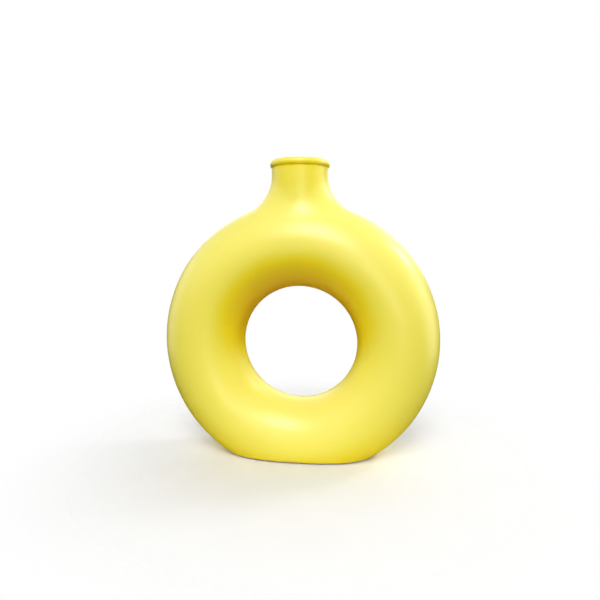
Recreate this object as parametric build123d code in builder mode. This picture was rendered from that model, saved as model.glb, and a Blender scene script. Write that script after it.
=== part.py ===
"""Donut vase: a hollow ceramic ring that stands on its edge, with a flared neck and a rolled lip.

The clay body is five pieces luted together with slip before firing: two half shells of the ring, the
neck, the lip and the foot. Their joints are half laps in the middle of the wall. A coloured glaze
covers the outside and the mouth, and a second glaze lines the inside, so that the vase holds water.

Millimetres, +Z up, with the front of the ring towards -Y. The origin is on the surface that the vase
stands on, under the middle of the ring.
"""

import os
from math import sqrt

from build123d import *

# Driving dimensions of the finished outside
tube_diameter = 52.5
hole_diameter = 75.0
foot_trim = 14.5
foot_edge_radius = 5.5
neck_rise = 24.5
neck_outer_diameter = 35.0
neck_straight = 1.6
lip_height = 6.0
lip_bead_diameter = 5.0
lip_overhang = 1.0
lip_root_fillet = 0.8

# Driving dimensions of the wall and of its coats
clay_wall = 4.2
glaze_thickness = 0.4
liner_thickness = 0.4
bare_foot_height = 1.5

# Driving dimensions of the joints and of the underside
luting_gap = 0.15
seam_lap = 3.0
neck_joint_rise = 2.0
neck_spigot = 3.0
lip_tenon = 1.5
foot_thickness = 5.0
foot_boss_height = 2.0
foot_ring_width = 7.0
foot_recess_depth = 1.0

# The ring, trimmed flat at the bottom
tube_radius = tube_diameter / 2
path_radius = hole_diameter / 2 + tube_radius
ring_radius = path_radius + tube_radius
ring_centre = ring_radius - foot_trim
ring_top = ring_centre + ring_radius
ring_axis = Axis((0, 0, ring_centre), (0, 1, 0))

# The neck, from its joint with the ring up to the lip
neck_radius = neck_outer_diameter / 2
neck_joint = ring_top + neck_joint_rise
overall_height = ring_top + neck_rise
lip_seat = overall_height - lip_height
flare_top = lip_seat - neck_straight

# The flare is rolled by a ball that rests on the ring's outer edge and leaves the neck at flare_top
flare_rise = flare_top - ring_centre
flare_radius = (neck_radius**2 + flare_rise**2 - ring_radius**2) / (2 * (ring_radius - neck_radius))

# Depths of the wall's surfaces below the finished outside
clay_outside = glaze_thickness
clay_inside = clay_outside + clay_wall
lined_inside = clay_inside + liner_thickness
wall_middle = (clay_outside + clay_inside) / 2
tongue_outside = wall_middle + luting_gap / 2
rebate_inside = wall_middle - luting_gap / 2
boss_outside = clay_inside + luting_gap

# The lip's section: a bead outside and a larger round into the mouth, which meet on the crest circle
bead_radius = lip_bead_diameter / 2
crest_radius = neck_radius + lip_overhang - bead_radius
clay_bore_radius = neck_radius - clay_inside
mouth_radius = clay_bore_radius - glaze_thickness
mouth_round = crest_radius - mouth_radius

# The flat of the foot, inside its rounded edge, and the floor of the cavity above it
flat_tube_radius = tube_radius - foot_edge_radius
flat_drop = ring_centre - foot_edge_radius + clay_outside
flat_half_length = sqrt((path_radius + flat_tube_radius) ** 2 - flat_drop**2)
flat_half_depth = sqrt(flat_tube_radius**2 - (flat_drop - path_radius) ** 2)
cavity_floor = foot_thickness + foot_boss_height


def ring_and_neck(depth):
    """The ring with its flared neck as a filled solid, at a depth below the finished outside."""
    with BuildPart() as form:
        with BuildSketch(Plane.XY.offset(ring_centre)):
            with Locations((path_radius, 0)):
                Circle(tube_radius - depth)
        revolve(axis=ring_axis)
        with BuildSketch(Plane.XY.offset(ring_centre + path_radius)):
            Circle(neck_radius - depth)
        extrude(amount=overall_height - ring_centre - path_radius)
        # The only free-form edges are where the neck runs into the ring
        fillet(form.edges().filter_by(GeomType.BSPLINE), radius=flare_radius + depth)
    return form.part


def standing_form(depth):
    """The same solid trimmed to a flat at the bottom, with the edge of the flat rounded."""
    with BuildPart() as form:
        add(ring_and_neck(depth))
        split(bisect_by=Plane.XY, keep=Keep.TOP)
        flat = form.faces().sort_by(Axis.Z)[0]
        fillet(flat.edges(), radius=foot_edge_radius - depth)
    return form.part


def between(form, low, high):
    """The stretch of a form between two heights."""
    with BuildPart() as stretch:
        add(form)
        split(bisect_by=Plane.XY.offset(low), keep=Keep.TOP)
        split(bisect_by=Plane.XY.offset(high), keep=Keep.BOTTOM)
    return stretch.part


def lip_form(depth):
    """The lip as a ring about the mouth, its outside, crest and bore at a depth below the finish."""
    outside = neck_radius - depth
    bore = mouth_radius + depth
    bead = bead_radius - depth
    bead_height = overall_height - bead_radius
    bead_root = bead_height - sqrt(bead**2 - (outside - crest_radius) ** 2)
    crest = (crest_radius, overall_height - depth)
    round_height = overall_height - mouth_round
    round_half_way = (mouth_round - depth) * sqrt(0.5)
    with BuildPart() as form:
        with BuildSketch(Plane.XZ) as profile:
            with BuildLine():
                Polyline((bore, round_height), (bore, lip_seat), (outside, lip_seat), (outside, bead_root))
                ThreePointArc((outside, bead_root), (crest_radius + bead, bead_height), crest)
                ThreePointArc(
                    crest,
                    (crest_radius - round_half_way, round_height + round_half_way),
                    (bore, round_height),
                )
            make_face()
            root = profile.vertices().sort_by_distance((outside, bead_root, 0))[0]
            fillet(root, radius=lip_root_fillet + depth)
        revolve(axis=Axis.Z)
    return form.part


finished_form = standing_form(0)
clay_form = standing_form(clay_outside)
rebate_form = ring_and_neck(rebate_inside)
tongue_form = ring_and_neck(tongue_outside)
cavity_form = ring_and_neck(clay_inside)
lined_form = ring_and_neck(lined_inside)

os.makedirs("parts", exist_ok=True)

# Joint tools: the tongue past the ring's seam, its rebate, and the socket for the neck's spigot
with BuildPart() as seam_tongue:
    add(between(tongue_form, foot_thickness, neck_joint))
    split(bisect_by=Plane.XZ.offset(-seam_lap), keep=Keep.TOP)
with BuildPart() as seam_rebate:
    add(rebate_form)
    split(bisect_by=Plane.XZ.offset(-seam_lap - luting_gap), keep=Keep.TOP)
with BuildPart() as neck_socket:
    add(rebate_form)
    split(bisect_by=Plane.XY.offset(neck_joint - neck_spigot - luting_gap), keep=Keep.TOP)

# Front half of the ring: the inner half of its wall runs on past the seam as a tongue
with BuildPart() as front_shell:
    add(between(clay_form, foot_thickness, neck_joint))
    split(bisect_by=Plane.XZ, keep=Keep.TOP)
    add(seam_tongue.part)
    add(cavity_form, mode=Mode.SUBTRACT)
    add(neck_socket.part, mode=Mode.SUBTRACT)
front_shell.part.label = "front_shell"
export_step(front_shell.part, "parts/front_shell.step")

# Rear half of the ring: the inner half of its wall is cut back from the seam for that tongue
with BuildPart() as rear_shell:
    add(between(clay_form, foot_thickness, neck_joint))
    split(bisect_by=Plane.XZ, keep=Keep.BOTTOM)
    add(seam_rebate.part, mode=Mode.SUBTRACT)
    add(cavity_form, mode=Mode.SUBTRACT)
    add(neck_socket.part, mode=Mode.SUBTRACT)
rear_shell.part.label = "rear_shell"
export_step(rear_shell.part, "parts/rear_shell.step")

# Neck: the flare, a spigot down into the shells' collar and a tenon up into the lip
with BuildPart() as neck:
    add(between(clay_form, neck_joint, lip_seat))
    add(between(tongue_form, neck_joint - neck_spigot, lip_seat + lip_tenon))
    add(cavity_form, mode=Mode.SUBTRACT)
neck.part.label = "neck"
export_step(neck.part, "parts/neck.step")

# Lip: a rolled coil with a mortise in its underside for the neck's tenon
with BuildPart() as lip:
    add(lip_form(clay_outside))
    add(between(rebate_form, neck_joint, lip_seat + lip_tenon + luting_gap), mode=Mode.SUBTRACT)
lip.part.label = "lip"
export_step(lip.part, "parts/lip.step")

# Foot: a slab that closes the trimmed ring, a boss that fits inside the shells and a shallow recess
with BuildPart() as foot:
    add(clay_form)
    split(bisect_by=Plane.XY.offset(foot_thickness), keep=Keep.BOTTOM)
    add(between(ring_and_neck(boss_outside), foot_thickness / 2, cavity_floor))
    with BuildSketch(Plane.XY):
        Ellipse(flat_half_length - foot_ring_width, flat_half_depth - foot_ring_width)
    extrude(amount=foot_recess_depth, mode=Mode.SUBTRACT)
foot.part.label = "foot"
export_step(foot.part, "parts/foot.step")

# Outer glaze: from just above the bare foot over the ring, neck and lip, and down into the mouth
with BuildPart() as outer_glaze:
    add(between(finished_form, bare_foot_height, lip_seat))
    add(clay_form, mode=Mode.SUBTRACT)
    add(lip_form(0))
    add(lip_form(clay_outside), mode=Mode.SUBTRACT)
    with BuildSketch(Plane.XY.offset(flare_top)):
        Circle(clay_bore_radius)
        Circle(mouth_radius, mode=Mode.SUBTRACT)
    extrude(amount=lip_seat - flare_top)
outer_glaze.part.label = "outer_glaze"
export_step(outer_glaze.part, "parts/outer_glaze.step")

# Liner glaze: the cavity's walls and floor, up to where the outer glaze ends in the mouth
with BuildPart() as lined_cavity:
    add(lined_form)
    split(bisect_by=Plane.XY.offset(cavity_floor + liner_thickness), keep=Keep.TOP)
with BuildPart() as liner_glaze:
    add(between(cavity_form, cavity_floor, flare_top))
    add(lined_cavity.part, mode=Mode.SUBTRACT)
liner_glaze.part.label = "liner_glaze"
export_step(liner_glaze.part, "parts/liner_glaze.step")
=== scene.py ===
"""Donut vase in a satin yellow glaze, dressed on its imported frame.

The clay pieces and the liner are the frame's own nodes with new finishes. The yellow coat is rebuilt
as one closed mesh of quads, because it is nearly all that shows. Metres, +Z up, front towards -Y.
"""

import math

import bmesh
import bpy
import numpy as np
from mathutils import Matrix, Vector, noise


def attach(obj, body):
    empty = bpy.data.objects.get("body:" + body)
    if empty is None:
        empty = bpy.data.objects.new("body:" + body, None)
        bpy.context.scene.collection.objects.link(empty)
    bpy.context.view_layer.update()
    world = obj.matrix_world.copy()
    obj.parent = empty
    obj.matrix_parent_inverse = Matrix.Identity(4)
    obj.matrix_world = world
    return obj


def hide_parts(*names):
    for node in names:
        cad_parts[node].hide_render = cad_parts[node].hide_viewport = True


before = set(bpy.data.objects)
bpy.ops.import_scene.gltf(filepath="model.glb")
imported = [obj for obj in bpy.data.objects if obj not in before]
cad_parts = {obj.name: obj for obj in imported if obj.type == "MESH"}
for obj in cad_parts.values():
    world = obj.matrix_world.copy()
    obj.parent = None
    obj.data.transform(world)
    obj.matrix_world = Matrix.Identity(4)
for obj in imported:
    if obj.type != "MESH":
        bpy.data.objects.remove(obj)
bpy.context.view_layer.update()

MM = 0.001

# The finished outside, in the same driving sizes as the solids
tube_radius = 26.25 * MM
hole_radius = 37.5 * MM
foot_trim = 14.5 * MM
foot_edge_radius = 5.5 * MM
neck_rise = 24.5 * MM
neck_radius = 17.5 * MM
neck_straight = 1.6 * MM
lip_height = 6.0 * MM
bead_radius = 2.5 * MM
lip_overhang = 1.0 * MM
lip_root_fillet = 0.8 * MM
wall_thickness = 5.0 * MM
glaze_thickness = 0.4 * MM
bare_foot_height = 1.5 * MM

path_radius = hole_radius + tube_radius
ring_radius = path_radius + tube_radius
ring_centre = ring_radius - foot_trim
ring_middle = np.array([0.0, 0.0, ring_centre])
overall_height = ring_centre + ring_radius + neck_rise
lip_seat = overall_height - lip_height
flare_top = lip_seat - neck_straight
neck_line = flare_top + neck_straight / 2
mouth_radius = neck_radius - wall_thickness
crest_radius = neck_radius + lip_overhang - bead_radius
mouth_round = crest_radius - mouth_radius
flare_rise = flare_top - ring_centre
flare_radius = (neck_radius**2 + flare_rise**2 - ring_radius**2) / (2 * (ring_radius - neck_radius))

# The coat's grid: steps along the ring and about its tube, the angles of one step, and the steps at the
# ring's top and bottom, where windows are left open for the neck and the foot, as half widths in steps
ring_steps = 192
tube_steps = 72
step_angles = np.array([2 * math.pi / ring_steps, 2 * math.pi / tube_steps])
top_step = ring_steps // 4
bottom_step = 3 * ring_steps // 4
neck_window = (18, 15)
foot_window = (24, 18)

# Rows of the coat's mesh from a window to the ball's curve, and then on each form in turn
lead_rows = 8
flare_rows = 18
neck_rows = 4
collar_rows = 4
root_rows = 6
bead_rows = 21
mouth_rows = 13
throat_rows = 4
foot_rows = 10

# The maker's hand in the coat: slow swells that die away towards the lip, and a roll of thicker glaze along
# the lower line, which wanders by a share of its height as it follows a circle through the noise
swell_height = 0.10 * MM
swell_length = 32 * MM
swell_fade = 8 * MM
roll_height = 0.10 * MM
roll_width = 1.3 * MM
line_wander = 0.25
wander_circle = 9
wander_level = 3.1
# How far the coat's rounded ends reach past its last rows
end_lead = 0.12 * MM

# Painted light and shade in the glaze's colour, as a level from 0 to 1: its value on upright walls, its change
# where they tilt (paler facing up, darker facing down), the shares of that taken off under the outside and
# added in the hole, the neck's and lip's tint, and the bead's cap
wall_shade_level = 0.5
tilt_shade = 0.40
outside_shade_cut = 0.45
hole_shade_share = 0.5
neck_depth = 0.09
neck_depth_rise = 10 * MM
lip_depth = 0.05
bead_shade_cap = 0.66

# The studio floor, and the distance from its middle at which it begins to fade out
floor_radius = 0.20
fade_start = 0.05

# The photograph's viewpoint: degrees and distance from the ring's centre, and the lens in millimetres
camera_azimuth = 7.62
camera_elevation = 11.06
camera_distance = 332.8 * MM
camera_lens = 30.2
camera_sensor = 36.0
camera_shift = 0.0715

# Soft boxes round the ring: name, azimuth, elevation, distance, width, height and watts
soft_boxes = (
    ("key_box", 3, 44, 1.0, 0.34, 0.28, 3.5),
    ("key_low_box", 3, 34, 1.0, 0.34, 0.20, 2.5),
    ("key_high_box", 3, 58, 1.0, 0.36, 0.28, 2.2),
    ("front_floor_bar", 5, 3, 1.2, 1.60, 0.20, 1.3),
    ("front_low_box", 13, 7, 1.0, 0.28, 0.50, 1.3),
    ("front_left_box", -50, 25, 1.2, 1.00, 1.00, 2.0),
    ("front_right_box", 50, 25, 1.2, 1.00, 1.00, 0.7),
    ("right_low_box", 100, 8, 1.1, 0.80, 0.90, 4.9),
    ("right_box", 112, 34, 1.0, 0.35, 0.60, 0.5),
    ("right_spot", 116, 36, 1.0, 0.20, 0.20, 2.5),
    ("right_rear_box", 135, 40, 1.0, 0.40, 0.40, 0.6),
    ("left_low_box", -100, 8, 1.1, 0.80, 0.90, 2.9),
    ("left_rear_box", -125, 30, 1.1, 0.70, 0.70, 1.2),
    ("rear_box", 180, 40, 1.2, 1.40, 0.80, 2.2),
    ("rear_low_box", 180, 20, 1.2, 1.60, 0.50, 4.6),
)


# Shape of the coat


def unit(vectors):
    """The same vectors at length 1."""
    return vectors / np.linalg.norm(vectors, axis=-1, keepdims=True)


def tube_point(along, about):
    """Points and outward normals on the ring, by the angles along it from +X and about its tube."""
    out = np.stack([np.cos(along), np.zeros_like(along), np.sin(along)], -1)
    normals = out * np.cos(about)[..., None]
    normals[..., 1] = -np.sin(about)
    return ring_middle + out * path_radius + normals * tube_radius, normals


def tube_angles(directions):
    """The inverse of tube_point, for points given from the ring's centre."""
    along = np.arctan2(directions[..., 2], directions[..., 0])
    reach = np.hypot(directions[..., 2], directions[..., 0]) - path_radius
    return along, np.arctan2(-directions[..., 1], reach)


def turn_between(start, end, share):
    """Unit vectors that turn evenly from start to end."""
    angle = np.arccos(np.clip((start * end).sum(-1, keepdims=True), -1, 1))
    return (np.sin((1 - share) * angle) * start + np.sin(share * angle) * end) / np.sin(angle)


def flare_centres(turn):
    """Centres, from the ring's centre, of the ball that rolls round the neck and forms the flare."""
    reach = neck_radius + flare_radius
    x, y = reach * np.cos(turn), reach * np.sin(turn)
    z = np.sqrt((path_radius + np.sqrt((tube_radius + flare_radius) ** 2 - y**2)) ** 2 - x**2)
    return np.stack([x, y, z], -1)


def foot_centres(turn):
    """Centres, from the ring's centre, of the ball that rolls inside the tube round the foot's edge."""
    halvings = 60
    drop = ring_centre - foot_edge_radius
    inner_tube = tube_radius - foot_edge_radius
    near = np.zeros_like(turn)
    far = np.full_like(turn, ring_radius)
    for _ in range(halvings):
        middle = (near + far) / 2
        x, y = middle * np.cos(turn), middle * np.sin(turn)
        outside = (np.hypot(x, drop) - path_radius) ** 2 + y**2 > inner_tube**2
        far = np.where(outside, middle, far)
        near = np.where(outside, near, middle)
    return np.stack([near * np.cos(turn), near * np.sin(turn), np.full_like(turn, -drop)], -1)


def lip_section():
    """Radius, height and outward normal of each row from the neck's line over the lip into the mouth."""
    bead_height = overall_height - bead_radius
    round_height = overall_height - mouth_round
    # The little fillet at the bead's root touches the neck and the bead
    root_reach = bead_radius + lip_root_fillet
    root_out = neck_radius + lip_root_fillet - crest_radius
    root_height = bead_height - math.sqrt(root_reach**2 - root_out**2)
    root_angle = math.atan2(root_height - bead_height, root_out)
    collar = np.linspace(neck_line, root_height, collar_rows + 2)[1:-1]
    throat = np.linspace(round_height, flare_top, throat_rows + 1)[1:]
    rows = [(neck_radius, height, 1.0, 0.0) for height in collar]
    for angle in np.linspace(0, root_angle, root_rows):
        out, up = math.cos(angle), math.sin(angle)
        radius = neck_radius + lip_root_fillet - lip_root_fillet * out
        rows.append((radius, root_height - lip_root_fillet * up, out, up))
    for angle in np.linspace(root_angle, math.pi / 2, bead_rows + 1)[1:]:
        out, up = math.cos(angle), math.sin(angle)
        rows.append((crest_radius + bead_radius * out, bead_height + bead_radius * up, out, up))
    for angle in np.linspace(math.pi / 2, math.pi, mouth_rows + 1)[1:]:
        out, up = math.cos(angle), math.sin(angle)
        rows.append((crest_radius + mouth_round * out, round_height + mouth_round * up, out, up))
    return rows + [(mouth_radius, height, -1.0, 0.0) for height in throat]


def window_loop(middle, half_widths):
    """The grid's points round a window, in order, as steps along and about the ring."""
    wide, deep = half_widths
    loop = [(wide, j) for j in range(-deep, deep)]
    loop += [(i, deep) for i in range(wide, -wide, -1)]
    loop += [(-wide, j) for j in range(deep, -deep, -1)]
    loop += [(i, -deep) for i in range(-wide, wide)]
    return [((middle + i) % ring_steps, j % tube_steps) for i, j in loop], np.array(loop, float)


class Coat:
    """Points, normals and quads of one side of the coat, gathered row by row."""

    def __init__(self):
        self.points = []
        self.normals = []
        self.quads = []
        self.count = 0

    def add_row(self, points, normals):
        """Adds points and returns their numbers."""
        self.points.append(points)
        self.normals.append(normals)
        self.count += len(points)
        return list(range(self.count - len(points), self.count))

    def extend(self, last, points, normals):
        """Adds a closed row, joins it with quads to the last one and returns its numbers."""
        row = self.add_row(points, normals)
        for k in range(len(row)):
            after = (k + 1) % len(row)
            self.quads.append((last[k], last[after], row[after], row[k]))
        return row


def ring_grid(coat):
    """Adds the ring apart from its windows, and returns the numbers of its points by step."""
    windows = [(top_step, neck_window), (bottom_step, foot_window)]

    def inside(i, j):
        across = (j + tube_steps // 2) % tube_steps - tube_steps // 2
        return any(abs(i - m) < w and abs(across) < d for m, (w, d) in windows)

    steps = [(i, j) for i in range(ring_steps) for j in range(tube_steps) if not inside(i, j)]
    along, about = (np.array(steps) * step_angles).T
    number = dict(zip(steps, coat.add_row(*tube_point(along, about))))
    for i, j in steps:
        corners = [(i, j), ((i + 1) % ring_steps, j), ((i + 1) % ring_steps, (j + 1) % tube_steps)]
        corners.append((i, (j + 1) % tube_steps))
        if all(c in number for c in corners):
            coat.quads.append(tuple(number[c] for c in corners))
    return number


def lead_in(coat, number, middle, half_widths, touch):
    """Adds the rows on the ring from a window's rim to the curve where a ball touches the ring."""
    loop, offsets = window_loop(middle, half_widths)
    last = [number[step] for step in loop]
    middle_angle = middle * step_angles[0]
    start = offsets * step_angles
    along, about = tube_angles(touch)
    turned = (along - middle_angle + math.pi) % (2 * math.pi) - math.pi
    end = np.stack([turned, about], -1)
    for share in np.linspace(0, 1, lead_rows + 1)[1:]:
        angles = start + (end - start) * share
        last = coat.extend(last, *tube_point(angles[:, 0] + middle_angle, angles[:, 1]))
    return last


def spoke_turns(half_widths, spread, flip):
    """The direction about +Z of each point of a window, evened out by the spread of the ball's curve."""
    offsets = window_loop(0, half_widths)[1] * step_angles
    return np.arctan2(-offsets[:, 1] / spread[1], flip * offsets[:, 0] / spread[0])


def curve_spread(centres):
    """How far a ball's curve on the ring reaches along and about it from its middle, as angles."""
    ends = centres(np.array([0.0, math.pi / 2]))
    along, about = tube_angles(ends)
    return abs(abs(along[0]) - math.pi / 2), abs(about[1])


def add_neck(coat, number):
    """Adds the flare, neck, lip and mouth, and returns the coat's last row, inside the mouth."""
    turn = spoke_turns(neck_window, curve_spread(flare_centres), -1)
    centres = flare_centres(turn)
    spine = unit(centres * (1, 0, 1)) * path_radius
    to_ring = unit(spine - centres)
    ring = np.stack([np.cos(turn), np.sin(turn), np.zeros_like(turn)], -1)
    last = lead_in(coat, number, top_step, neck_window, centres + to_ring * flare_radius)
    for share in np.linspace(0, 1, flare_rows + 1)[1:]:
        way = turn_between(to_ring, -ring, share)
        last = coat.extend(last, ring_middle + centres + way * flare_radius, -way)
    low = centres[:, 2] + ring_centre
    for share in np.linspace(0, 1, neck_rows + 1)[1:]:
        points = ring * neck_radius
        points[:, 2] = low + (neck_line - low) * share
        last = coat.extend(last, points, ring)
    for radius, height, out, up in lip_section():
        last = coat.extend(last, ring * radius + (0, 0, height), ring * out + (0, 0, up))
    return last


def add_foot(coat, number):
    """Adds the rounded edge of the foot down to the glaze line, and returns the coat's last row."""
    turn = spoke_turns(foot_window, curve_spread(foot_centres), 1)
    centres = foot_centres(turn)
    spine = unit(centres * (1, 0, 1)) * path_radius
    to_ring = unit(centres - spine)
    touch = centres + to_ring * foot_edge_radius
    last = lead_in(coat, number, bottom_step, foot_window, touch)
    down = np.zeros_like(centres) - (0, 0, 1)
    circle = wander_circle * np.stack([np.cos(turn), np.sin(turn)], -1)
    wander = np.array([noise.noise(Vector((x, y, wander_level))) for x, y in circle])
    lines = bare_foot_height * (1 + line_wander * wander)
    # The share of the rounded edge's turn at which it comes down to the glaze line
    whole = np.arccos(np.clip(-to_ring[:, 2], -1, 1))
    used = (whole - np.arccos(1 - lines / foot_edge_radius)) / whole
    for share in np.linspace(0, 1, foot_rows + 1)[1:]:
        way = turn_between(to_ring, down, (used * share)[:, None])
        last = coat.extend(last, ring_middle + centres + way * foot_edge_radius, way)
    return last


def tint_and_painted_shade(points, normals):
    """Level of painted light and shade, plus a tint: low where the surface faces up, high where it faces down,
    under the ring and in its hole.
    """
    out = unit((points - ring_middle) * (1, 0, 1))
    outward = (out * normals).sum(-1)
    towards_hole = np.clip(-outward, 0, 1)
    above_ring = points[:, 2] - ring_centre - ring_radius
    on_lip = points[:, 2] > lip_seat
    # Painted shade grows as the surface faces down, less so under the outside than under the hole's edge, and
    # grows again facing into the hole
    hanging = np.clip(-normals[:, 2], 0, 1) * np.clip(outward, 0, 1)
    tilt = -normals[:, 2] - outside_shade_cut * hanging + hole_shade_share * towards_hole**2
    shade_and_tint = wall_shade_level + tilt_shade * tilt
    shade_and_tint += neck_depth * np.clip(above_ring / neck_depth_rise, 0, 1) + lip_depth * on_lip
    # The painted shade is capped on the bead, so the bead's underside stays golden
    return np.clip(shade_and_tint, 0, np.where(on_lip, bead_shade_cap, 1.0))


def build_coat():
    """The yellow coat as one closed mesh: its outside, its face on the clay and its two rounded ends."""
    coat = Coat()
    number = ring_grid(coat)
    mouth_end = add_neck(coat, number)
    foot_end = add_foot(coat, number)
    points = np.concatenate(coat.points)
    normals = unit(np.concatenate(coat.normals))
    swell = np.array([noise.noise(Vector(p) / swell_length) for p in points]) * swell_height
    roll = roll_height * np.exp(-(((points[:, 2] - bare_foot_height) / roll_width) ** 2))
    below_lip = np.clip((lip_seat - points[:, 2]) / swell_fade, 0, 1)
    outside = points + normals * ((swell - swell_height) * below_lip + roll)[:, None]
    inside = points - normals * glaze_thickness
    count = len(points)
    quads = list(coat.quads) + [tuple(count + k for k in reversed(q)) for q in coat.quads]
    ends = []
    for end in (mouth_end, foot_end):
        first = 2 * count + sum(len(e) for e in ends)
        row = list(range(first, first + len(end)))
        row_before = [e - len(end) for e in end]
        lead = unit(points[end] - points[row_before]) * end_lead
        ends.append((outside[end] + inside[end]) / 2 + lead)
        for k in range(len(end)):
            after = (k + 1) % len(end)
            quads.append((end[k], end[after], row[after], row[k]))
            quads.append((row[k], row[after], count + end[after], count + end[k]))
    mesh = bpy.data.meshes.new("glaze_coat")
    mesh.from_pydata(np.vstack([outside, inside] + ends).tolist(), [], quads)
    # Painted light and shade, with the neck's and lip's tint, at each point, kept as an attribute for the
    # glaze's colour
    shade_and_tint_values = tint_and_painted_shade(points, normals)
    shade_and_tint = mesh.attributes.new("tint_and_painted_shade", "FLOAT", "POINT")
    shade_and_tint.data.foreach_set("value", np.concatenate([shade_and_tint_values, shade_and_tint_values, shade_and_tint_values[mouth_end], shade_and_tint_values[foot_end]]))
    sides = bmesh.new()
    sides.from_mesh(mesh)
    bmesh.ops.recalc_face_normals(sides, faces=sides.faces)
    sides.to_mesh(mesh)
    sides.free()
    mesh.polygons.foreach_set("use_smooth", [True] * len(mesh.polygons))
    return mesh


# Finishes


def new_material(name):
    """An empty node material with its surface shader."""
    material = bpy.data.materials.new(name)
    material.use_nodes = True
    nodes = material.node_tree.nodes
    return material, nodes, material.node_tree.links, nodes["Principled BSDF"]


def noise_node(nodes, links, coords, scale, detail, rough=0.5):
    """Noise in the object's own metres, scale being waves per metre."""
    node = nodes.new("ShaderNodeTexNoise")
    node.inputs["Scale"].default_value = scale
    node.inputs["Detail"].default_value = detail
    node.inputs["Roughness"].default_value = rough
    links.new(coords.outputs["Object"], node.inputs["Vector"])
    return node.outputs["Fac"]


def ramp_node(nodes, links, fac, stops):
    """A colour ramp on fac, with stops of place and colour."""
    node = nodes.new("ShaderNodeValToRGB")
    elements = node.color_ramp.elements
    while len(elements) < len(stops):
        elements.new(0.5)
    for element, (place, colour) in zip(elements, stops):
        element.position = place
        element.color = (*colour, 1.0)
    links.new(fac, node.inputs["Fac"])
    return node.outputs["Color"]


def range_node(nodes, links, fac, low, high):
    """fac from 0 to 1 stretched to low and high."""
    node = nodes.new("ShaderNodeMapRange")
    node.inputs["To Min"].default_value = low
    node.inputs["To Max"].default_value = high
    links.new(fac, node.inputs["Value"])
    return node.outputs["Result"]


def bump_node(nodes, links, height, distance, strength):
    """A bump from height."""
    node = nodes.new("ShaderNodeBump")
    node.inputs["Distance"].default_value = distance
    node.inputs["Strength"].default_value = strength
    links.new(height, node.inputs["Height"])
    return node.outputs["Normal"]


def yellow_glaze():
    """Satin glaze with painted light and shade: pale where the surface faces up, amber where it faces down and
    into the hole; with clouds and a faint orange peel.
    """
    material, nodes, links, shader = new_material("satin_yellow_glaze")
    coords = nodes.new("ShaderNodeTexCoord")
    shade_and_tint = nodes.new("ShaderNodeAttribute")
    shade_and_tint.attribute_name = "tint_and_painted_shade"
    clouds = noise_node(nodes, links, coords, scale=38.0, detail=4.0)
    drift = nodes.new("ShaderNodeMath")
    drift.operation = "ADD"
    links.new(shade_and_tint.outputs["Fac"], drift.inputs[0])
    links.new(range_node(nodes, links, clouds, low=-0.035, high=0.035), drift.inputs[1])
    # The ramp paints light and shade: pale, bluer yellow at low levels where surfaces face up, deep amber at
    # high levels facing down and into the hole
    tone = ramp_node(
        nodes,
        links,
        drift.outputs["Value"],
        [
            (0.15, (0.89, 0.81, 0.185)),
            (0.35, (0.88, 0.785, 0.140)),
            (0.45, (0.875, 0.77, 0.110)),
            (0.55, (0.865, 0.76, 0.085)),
            (0.60, (0.86, 0.727, 0.050)),
            (0.65, (0.88, 0.71, 0.015)),
            (0.70, (0.90, 0.68, 0.003)),
            (0.80, (0.93, 0.66, 0.002)),
            (0.92, (0.95, 0.59, 0.002)),
        ],
    )
    links.new(tone, shader.inputs["Base Color"])
    gloss = noise_node(nodes, links, coords, scale=240.0, detail=3.0)
    links.new(range_node(nodes, links, gloss, low=0.33, high=0.38), shader.inputs["Roughness"])
    peel = noise_node(nodes, links, coords, scale=420.0, detail=1.0)
    links.new(bump_node(nodes, links, peel, distance=0.00001, strength=0.25), shader.inputs["Normal"])
    return material


def bare_clay():
    """Fired buff clay: matt, sandy, with darker grains."""
    material, nodes, links, shader = new_material("bare_buff_clay")
    coords = nodes.new("ShaderNodeTexCoord")
    body = noise_node(nodes, links, coords, scale=160.0, detail=6.0, rough=0.65)
    tone = ramp_node(
        nodes,
        links,
        body,
        [(0.28, (0.48, 0.36, 0.24)), (0.42, (0.66, 0.54, 0.40)), (0.70, (0.74, 0.63, 0.48))],
    )
    links.new(tone, shader.inputs["Base Color"])
    links.new(range_node(nodes, links, body, low=0.78, high=0.95), shader.inputs["Roughness"])
    grains = noise_node(nodes, links, coords, scale=1800.0, detail=3.0)
    links.new(bump_node(nodes, links, grains, distance=0.0001, strength=0.5), shader.inputs["Normal"])
    return material


def ivory_liner():
    """Glossy ivory liner with faint craze lines."""
    material, nodes, links, shader = new_material("ivory_liner_glaze")
    coords = nodes.new("ShaderNodeTexCoord")
    cells = nodes.new("ShaderNodeTexVoronoi")
    cells.feature = "DISTANCE_TO_EDGE"
    cells.inputs["Scale"].default_value = 160.0
    links.new(coords.outputs["Object"], cells.inputs["Vector"])
    tone = ramp_node(
        nodes,
        links,
        cells.outputs["Distance"],
        [(0.0, (0.74, 0.68, 0.55)), (0.012, (0.80, 0.75, 0.63)), (0.30, (0.85, 0.81, 0.71))],
    )
    links.new(tone, shader.inputs["Base Color"])
    gloss = noise_node(nodes, links, coords, scale=120.0, detail=2.0)
    links.new(range_node(nodes, links, gloss, low=0.10, high=0.20), shader.inputs["Roughness"])
    return material


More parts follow.
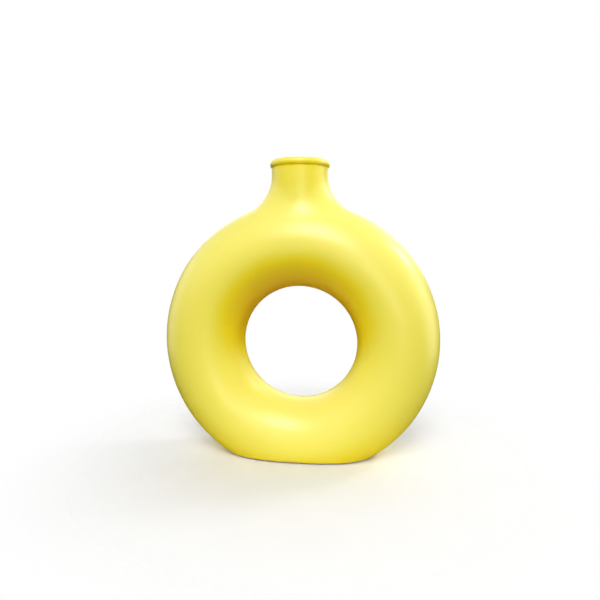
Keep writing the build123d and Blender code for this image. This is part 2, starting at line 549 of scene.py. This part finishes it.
def pale_floor():
    """The studio's plain pale floor, which fades out into the backdrop away from the vase."""
    material, nodes, links, shader = new_material("pale_floor")
    coords = nodes.new("ShaderNodeTexCoord")
    grain = noise_node(nodes, links, coords, scale=30.0, detail=3.0)
    tone = ramp_node(nodes, links, grain, [(0.3, (0.79, 0.79, 0.79)), (0.7, (0.81, 0.81, 0.81))])
    links.new(tone, shader.inputs["Base Color"])
    shader.inputs["Roughness"].default_value = 0.9
    distance = nodes.new("ShaderNodeVectorMath")
    distance.operation = "LENGTH"
    links.new(coords.outputs["Object"], distance.inputs[0])
    fade = nodes.new("ShaderNodeMapRange")
    fade.interpolation_type = "SMOOTHSTEP"
    fade.inputs["From Min"].default_value = fade_start
    fade.inputs["From Max"].default_value = floor_radius
    links.new(distance.outputs["Value"], fade.inputs["Value"])
    blend = nodes.new("ShaderNodeMixShader")
    links.new(fade.outputs["Result"], blend.inputs["Fac"])
    links.new(shader.outputs["BSDF"], blend.inputs[1])
    links.new(nodes.new("ShaderNodeBsdfTransparent").outputs["BSDF"], blend.inputs[2])
    links.new(blend.outputs["Shader"], nodes["Material Output"].inputs["Surface"])
    return material


def finish_node(name, material):
    """Gives a frame node a new finish."""
    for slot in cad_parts[name].material_slots:
        slot.link = "OBJECT"
        slot.material = material


clay = bare_clay()
for clay_node in ("front_shell", "rear_shell", "neck", "lip", "foot"):
    finish_node(clay_node, clay)
finish_node("liner_glaze", ivory_liner())

glaze_coat = bpy.data.objects.new("glaze_coat", build_coat())
glaze_coat.data.materials.append(yellow_glaze())
bpy.context.scene.collection.objects.link(glaze_coat)
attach(glaze_coat, "root")
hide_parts("outer_glaze")


# Studio


def add_floor():
    """A round pale floor under the vase."""
    mesh = bpy.data.meshes.new("floor")
    disc = bmesh.new()
    bmesh.ops.create_circle(disc, cap_ends=True, segments=96, radius=floor_radius)
    disc.to_mesh(mesh)
    disc.free()
    mesh.materials.append(pale_floor())
    floor = bpy.data.objects.new("floor", mesh)
    # It lights the vase from below but isn't mirrored in the glaze, as in the photograph
    floor.visible_glossy = False
    bpy.context.scene.collection.objects.link(floor)


def way_from_centre(azimuth, elevation):
    """Direction from the ring's centre, in degrees: azimuth 0 is the front and 90 the right."""
    turn, rise = math.radians(azimuth), math.radians(elevation)
    level = math.cos(rise)
    return Vector((math.sin(turn) * level, -math.cos(turn) * level, math.sin(rise)))


def add_box(name, azimuth, elevation, distance, wide, high, power):
    """A rectangular soft box that faces the ring's centre."""
    lamp = bpy.data.lights.new(name, "AREA")
    lamp.shape = "RECTANGLE"
    lamp.size, lamp.size_y = wide, high
    lamp.energy = power
    way = way_from_centre(azimuth, elevation)
    box = bpy.data.objects.new(name, lamp)
    box.location = Vector(ring_middle) + way * distance
    box.rotation_mode = "QUATERNION"
    box.rotation_quaternion = (-way).to_track_quat("-Z", "Y")
    bpy.context.scene.collection.objects.link(box)


def add_camera():
    """The photograph's viewpoint: close, a little to the right and above, aimed at the ring's centre."""
    back = way_from_centre(camera_azimuth, camera_elevation)
    data = bpy.data.cameras.new("camera")
    data.sensor_width = camera_sensor
    data.lens = camera_lens
    data.shift_y = camera_shift
    data.clip_start = 0.01
    camera = bpy.data.objects.new("camera", data)
    camera.location = Vector(ring_middle) + back * camera_distance
    camera.rotation_mode = "QUATERNION"
    camera.rotation_quaternion = (-back).to_track_quat("-Z", "Y")
    bpy.context.scene.collection.objects.link(camera)
    bpy.context.scene.camera = camera


def add_world():
    """A white backdrop that shows behind the vase but leaves its lighting to the soft boxes."""
    world = bpy.data.worlds.new("studio")
    world.use_nodes = True
    nodes, links = world.node_tree.nodes, world.node_tree.links
    backdrop = nodes["Background"]
    backdrop.inputs["Color"].default_value = (1.0, 1.0, 1.0, 1.0)
    seen = nodes.new("ShaderNodeLightPath").outputs["Is Camera Ray"]
    links.new(seen, backdrop.inputs["Strength"])
    bpy.context.scene.world = world


add_floor()
for soft_box in soft_boxes:
    add_box(*soft_box)
add_world()
add_camera()
bpy.context.scene.view_settings.view_transform = "Standard"
